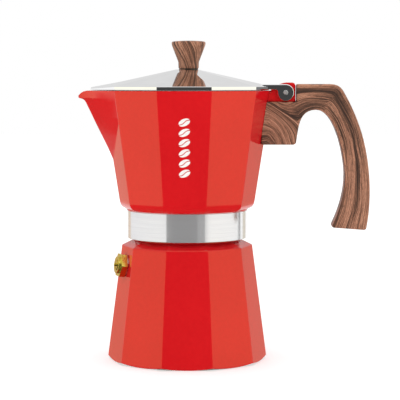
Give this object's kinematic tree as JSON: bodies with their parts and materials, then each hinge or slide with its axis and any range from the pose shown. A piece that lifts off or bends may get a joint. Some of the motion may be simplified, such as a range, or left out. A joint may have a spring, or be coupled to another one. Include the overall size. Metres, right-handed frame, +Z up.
{
  "type": "moka pot",
  "caption": "Stovetop coffee pot: ten-sided boiler with safety valve, screw-on collector with spout, hinged ten-sided lid, wood-look handle and knob.",
  "frame": {"origin": "middle of the boiler's flat underside, on the pot's axis", "axes": "+Z up along the pot's axis, +X towards the handle, -X towards the spout"},
  "size_m": [0.1854, 0.1026, 0.2019],
  "materials": {
    "red_paint": "glossy enamel on cast aluminium, bare inside and on the band",
    "bare_aluminium": "turned or spun, satin",
    "polished_aluminium": "mirror polished",
    "wood_look": "heat-resistant moulding with a printed wood grain, satin",
    "brass": "machined",
    "silicone": "soft, matte",
    "steel": "plain"
  },
  "bodies": {
    "boiler": {"boiler": "red_paint", "valve_body": "brass", "valve_washer": "steel", "valve_nut": "brass", "valve_spring": "steel", "valve_cap": "brass", "funnel": "bare_aluminium", "funnel_screen": "bare_aluminium"},
    "valve": {"valve_stem": "brass", "valve_seal": "silicone"},
    "seal_set": {"gasket": "silicone", "filter_plate": "steel"},
    "collector": {"upper_chamber": "red_paint", "handle": "wood_look", "handle_screw": "steel", "hinge_pin": "steel"},
    "lid": {"lid": "polished_aluminium", "knob": "wood_look", "knob_washer": "steel", "knob_screw": "steel"}
  },
  "joints": [
    {"name": "chamber_lift", "type": "slide", "parent": "boiler", "child": "seal_set", "axis": [0, 0, 1], "range_m": [0, 0.0075]},
    {"name": "chamber_turn", "type": "hinge", "parent": "seal_set", "child": "collector", "pos_m": [0, 0, 0.09], "axis": [0, 0, 1], "range_deg": [0, 900]},
    {"name": "lid_hinge", "type": "hinge", "parent": "collector", "child": "lid", "pos_m": [0.0622, 0, 0.1693], "axis": [0, 1, 0], "range_deg": [0, 98]},
    {"name": "valve_lift", "type": "slide", "parent": "boiler", "child": "valve", "axis": [-0.9326, -0.3395, 0.1222], "range_m": [0, 0.0018], "stiffness_N_per_m": 700, "springref_m": -0.003, "deforming": ["valve_spring"]}
  ],
  "couplings": [
    {"joint": "chamber_lift", "follows": "chamber_turn", "m_per_rad": 0.00047746}
  ]
}
